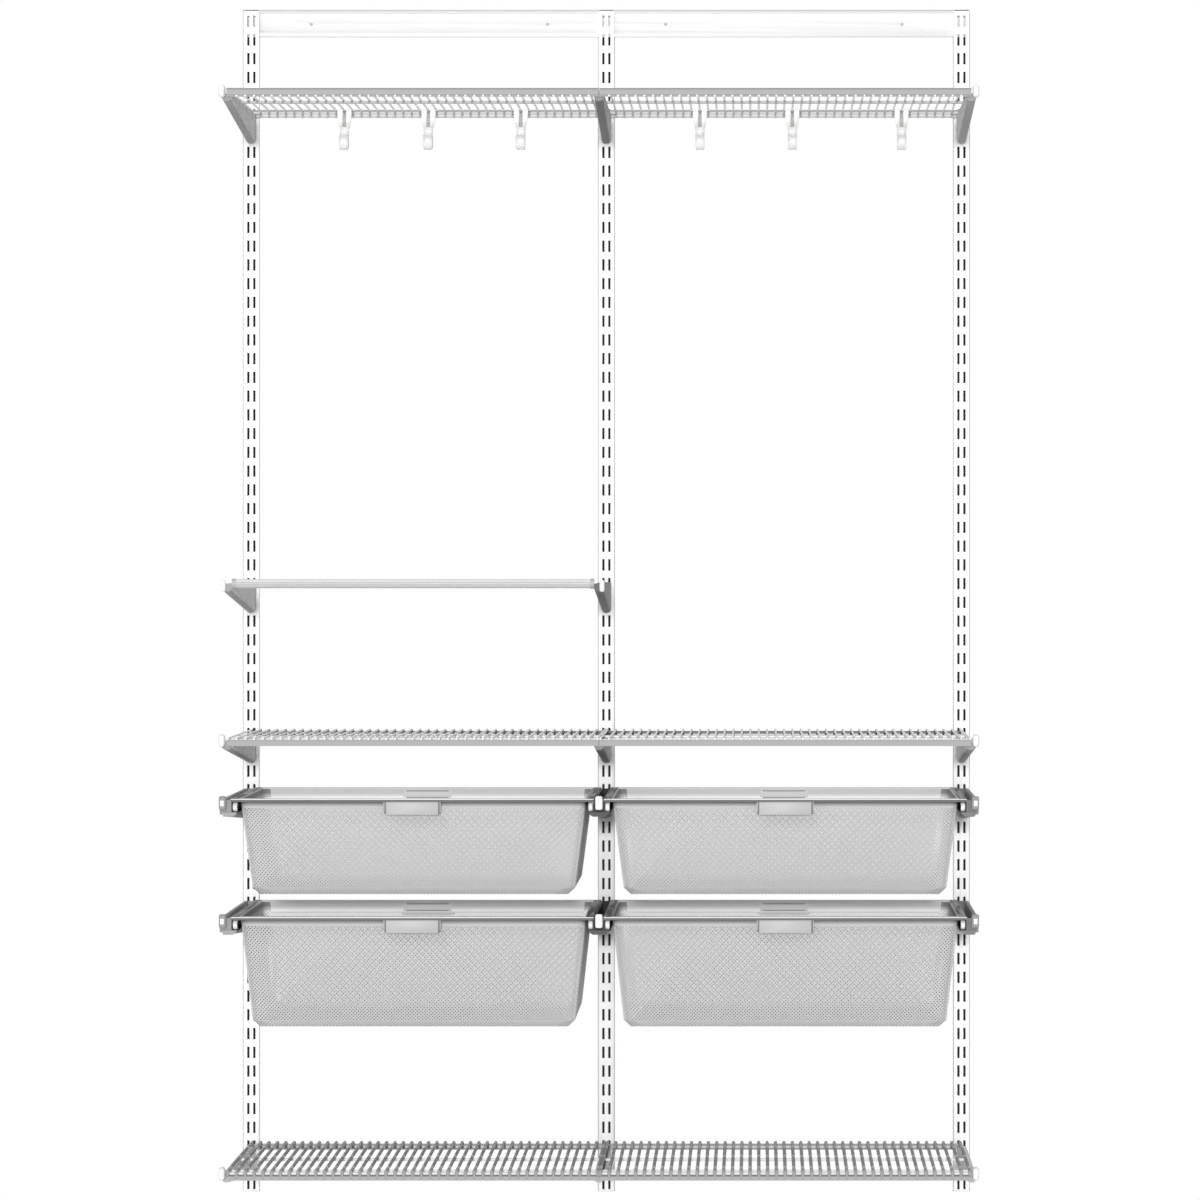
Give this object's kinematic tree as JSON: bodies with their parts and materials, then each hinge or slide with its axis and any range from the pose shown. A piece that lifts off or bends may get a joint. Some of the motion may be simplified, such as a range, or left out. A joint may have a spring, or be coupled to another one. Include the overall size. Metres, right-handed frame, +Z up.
{
  "type": "closet system",
  "caption": "Wall-hung closet system: slotted uprights on a top track carry wire shelves, a hanging rod, coat hooks and sliding mesh drawers.",
  "frame": {"origin": "on the wall plane, at the middle of the top track's row of screw holes", "axes": "+X along the wall to the right, +Y into the wall, +Z up; the drawers pull out along -Y"},
  "size_m": [1.238, 0.433, 2.0142],
  "materials": {
    "white_steel": "satin",
    "track_steel": "satin",
    "bracket_steel": "satin",
    "shelf_wire": "satin",
    "rod_steel": "satin",
    "nose_plastic": "matte",
    "hook_plastic": "gloss",
    "runner_steel": "satin",
    "roller_nylon": "matte",
    "rim_steel": "satin",
    "basket_mesh": "satin",
    "grip_plastic": "matte"
  },
  "bodies": {
    "wall_frame": {"top_track": "track_steel", "standard_left": "white_steel", "standard_mid": "white_steel", "standard_right": "white_steel", "top_bracket_left": "bracket_steel", "top_bracket_mid": "bracket_steel", "top_bracket_right": "bracket_steel", "top_shelf_left": "shelf_wire", "top_shelf_right": "shelf_wire", "middle_bracket_left": "bracket_steel", "middle_bracket_mid": "bracket_steel", "middle_bracket_right": "bracket_steel", "middle_shelf_left": "shelf_wire", "middle_shelf_right": "shelf_wire", "bottom_bracket_left": "bracket_steel", "bottom_bracket_mid": "bracket_steel", "bottom_bracket_right": "bracket_steel", "bottom_shelf_left": "shelf_wire", "bottom_shelf_right": "shelf_wire", "shelf_bracket_noses": "nose_plastic", "rod_bracket_left": "bracket_steel", "rod_bracket_mid": "bracket_steel", "rod_bracket_noses": "nose_plastic", "closet_rod": "rod_steel", "rod_cups": "nose_plastic", "coat_hooks_left": "hook_plastic", "coat_hooks_right": "hook_plastic", "upper_drawer_bracket_left": "bracket_steel", "upper_drawer_bracket_mid": "bracket_steel", "upper_drawer_bracket_right": "bracket_steel", "drawer_tracks_upper_left": "runner_steel", "drawer_tracks_upper_right": "runner_steel", "lower_drawer_bracket_left": "bracket_steel", "lower_drawer_bracket_mid": "bracket_steel", "lower_drawer_bracket_right": "bracket_steel", "drawer_tracks_lower_left": "runner_steel", "drawer_tracks_lower_right": "runner_steel", "drawer_bracket_noses": "nose_plastic", "drawer_bracket_covers": "nose_plastic"},
    "drawer_upper_left": {"drawer_rim_upper_left": "rim_steel", "drawer_basket_upper_left": "basket_mesh", "drawer_grips_upper_left": "grip_plastic"},
    "front_rollers_upper_left": {"front_rollers_upper_left": "roller_nylon"},
    "rear_rollers_upper_left": {"rear_rollers_upper_left": "roller_nylon"},
    "drawer_upper_right": {"drawer_rim_upper_right": "rim_steel", "drawer_basket_upper_right": "basket_mesh", "drawer_grips_upper_right": "grip_plastic"},
    "front_rollers_upper_right": {"front_rollers_upper_right": "roller_nylon"},
    "rear_rollers_upper_right": {"rear_rollers_upper_right": "roller_nylon"},
    "drawer_lower_left": {"drawer_rim_lower_left": "rim_steel", "drawer_basket_lower_left": "basket_mesh", "drawer_grips_lower_left": "grip_plastic"},
    "front_rollers_lower_left": {"front_rollers_lower_left": "roller_nylon"},
    "rear_rollers_lower_left": {"rear_rollers_lower_left": "roller_nylon"},
    "drawer_lower_right": {"drawer_rim_lower_right": "rim_steel", "drawer_basket_lower_right": "basket_mesh", "drawer_grips_lower_right": "grip_plastic"},
    "front_rollers_lower_right": {"front_rollers_lower_right": "roller_nylon"},
    "rear_rollers_lower_right": {"rear_rollers_lower_right": "roller_nylon"}
  },
  "joints": [
    {"name": "drawer_upper_left_slide", "type": "slide", "parent": "wall_frame", "child": "drawer_upper_left", "axis": [0, -1, 0], "range_m": [0, 0.3]},
    {"name": "front_rollers_upper_left_turn", "type": "hinge", "parent": "wall_frame", "child": "front_rollers_upper_left", "pos_m": [-0.303, -0.409, -1.3167], "axis": [1, 0, 0], "range_deg": [0, 2210]},
    {"name": "rear_rollers_upper_left_turn", "type": "hinge", "parent": "drawer_upper_left", "child": "rear_rollers_upper_left", "pos_m": [-0.303, -0.041, -1.3167], "axis": [1, 0, 0], "range_deg": [0, 2210]},
    {"name": "drawer_upper_right_slide", "type": "slide", "parent": "wall_frame", "child": "drawer_upper_right", "axis": [0, -1, 0], "range_m": [0, 0.3]},
    {"name": "front_rollers_upper_right_turn", "type": "hinge", "parent": "wall_frame", "child": "front_rollers_upper_right", "pos_m": [0.303, -0.409, -1.3167], "axis": [1, 0, 0], "range_deg": [0, 2210]},
    {"name": "rear_rollers_upper_right_turn", "type": "hinge", "parent": "drawer_upper_right", "child": "rear_rollers_upper_right", "pos_m": [0.303, -0.041, -1.3167], "axis": [1, 0, 0], "range_deg": [0, 2210]},
    {"name": "drawer_lower_left_slide", "type": "slide", "parent": "wall_frame", "child": "drawer_lower_left", "axis": [0, -1, 0], "range_m": [0, 0.3]},
    {"name": "front_rollers_lower_left_turn", "type": "hinge", "parent": "wall_frame", "child": "front_rollers_lower_left", "pos_m": [-0.303, -0.409, -1.5087], "axis": [1, 0, 0], "range_deg": [0, 2210]},
    {"name": "rear_rollers_lower_left_turn", "type": "hinge", "parent": "drawer_lower_left", "child": "rear_rollers_lower_left", "pos_m": [-0.303, -0.041, -1.5087], "axis": [1, 0, 0], "range_deg": [0, 2210]},
    {"name": "drawer_lower_right_slide", "type": "slide", "parent": "wall_frame", "child": "drawer_lower_right", "axis": [0, -1, 0], "range_m": [0, 0.3]},
    {"name": "front_rollers_lower_right_turn", "type": "hinge", "parent": "wall_frame", "child": "front_rollers_lower_right", "pos_m": [0.303, -0.409, -1.5087], "axis": [1, 0, 0], "range_deg": [0, 2210]},
    {"name": "rear_rollers_lower_right_turn", "type": "hinge", "parent": "drawer_lower_right", "child": "rear_rollers_lower_right", "pos_m": [0.303, -0.041, -1.5087], "axis": [1, 0, 0], "range_deg": [0, 2210]}
  ],
  "couplings": [
    {"joint": "front_rollers_upper_left_turn", "follows": "drawer_upper_left_slide", "rad_per_m": 128.21},
    {"joint": "rear_rollers_upper_left_turn", "follows": "drawer_upper_left_slide", "rad_per_m": 128.21},
    {"joint": "front_rollers_upper_right_turn", "follows": "drawer_upper_right_slide", "rad_per_m": 128.21},
    {"joint": "rear_rollers_upper_right_turn", "follows": "drawer_upper_right_slide", "rad_per_m": 128.21},
    {"joint": "front_rollers_lower_left_turn", "follows": "drawer_lower_left_slide", "rad_per_m": 128.21},
    {"joint": "rear_rollers_lower_left_turn", "follows": "drawer_lower_left_slide", "rad_per_m": 128.21},
    {"joint": "front_rollers_lower_right_turn", "follows": "drawer_lower_right_slide", "rad_per_m": 128.21},
    {"joint": "rear_rollers_lower_right_turn", "follows": "drawer_lower_right_slide", "rad_per_m": 128.21}
  ]
}
